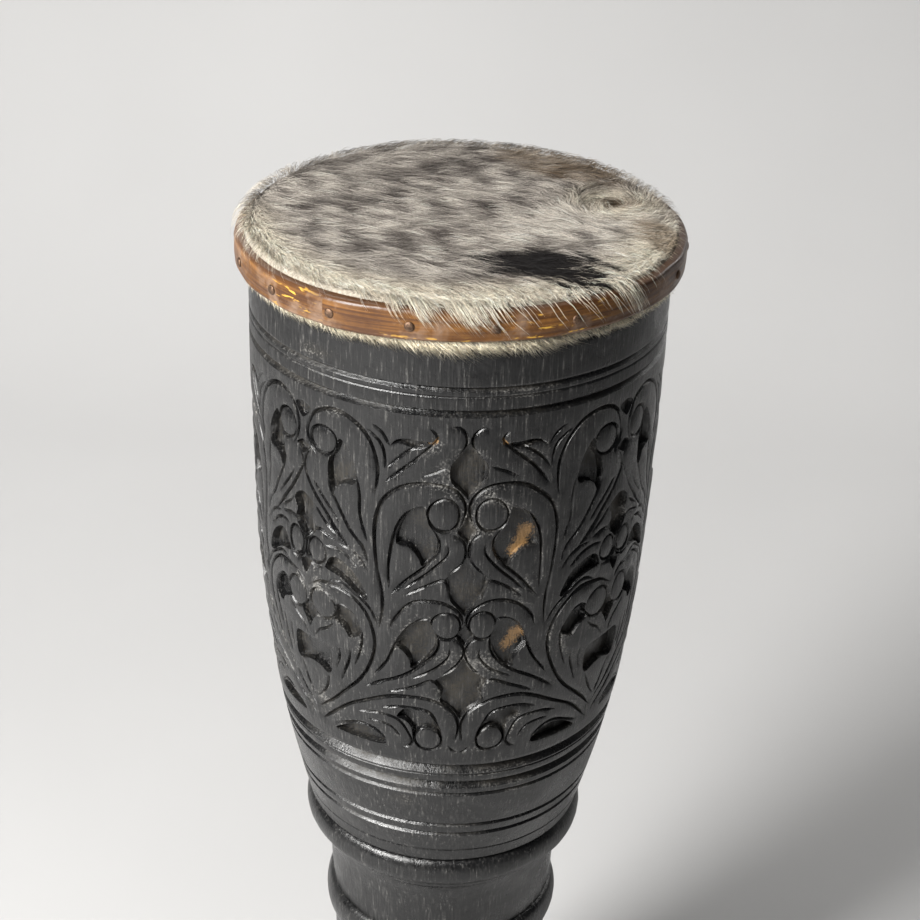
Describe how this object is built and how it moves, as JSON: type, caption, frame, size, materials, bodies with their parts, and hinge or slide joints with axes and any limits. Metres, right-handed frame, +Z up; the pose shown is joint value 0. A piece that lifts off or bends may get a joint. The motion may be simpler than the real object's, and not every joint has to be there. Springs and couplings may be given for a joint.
{
  "type": "carved goblet drum",
  "caption": "Tall carved wooden goblet drum with a hair-on goatskin head nailed under a cane hoop, open through its turned foot.",
  "frame": {"origin": "centre of the foot's underside, on the floor", "axes": "+Z up the drum's axis to the head; -Y is the side that the picture shows"},
  "size_m": [0.2218, 0.219, 0.61],
  "materials": {
    "ebonised_wood": "black stain, hand rubbed to a satin sheen",
    "goatskin": "mottled grey, white and brown hair left on",
    "cane": "glossy varnish, chipped",
    "nail_iron": "dull, browned"
  },
  "bodies": {
    "root": {"carved_body": "ebonised_wood", "goatskin_head": "goatskin", "hoop_band": "cane", "nail_01": "nail_iron", "nail_02": "nail_iron", "nail_03": "nail_iron", "nail_04": "nail_iron", "nail_05": "nail_iron", "nail_06": "nail_iron", "nail_07": "nail_iron", "nail_08": "nail_iron", "nail_09": "nail_iron", "nail_10": "nail_iron", "nail_11": "nail_iron", "nail_12": "nail_iron", "nail_13": "nail_iron", "nail_14": "nail_iron", "nail_15": "nail_iron", "nail_16": "nail_iron", "nail_17": "nail_iron", "nail_18": "nail_iron"}
  },
  "joints": []
}
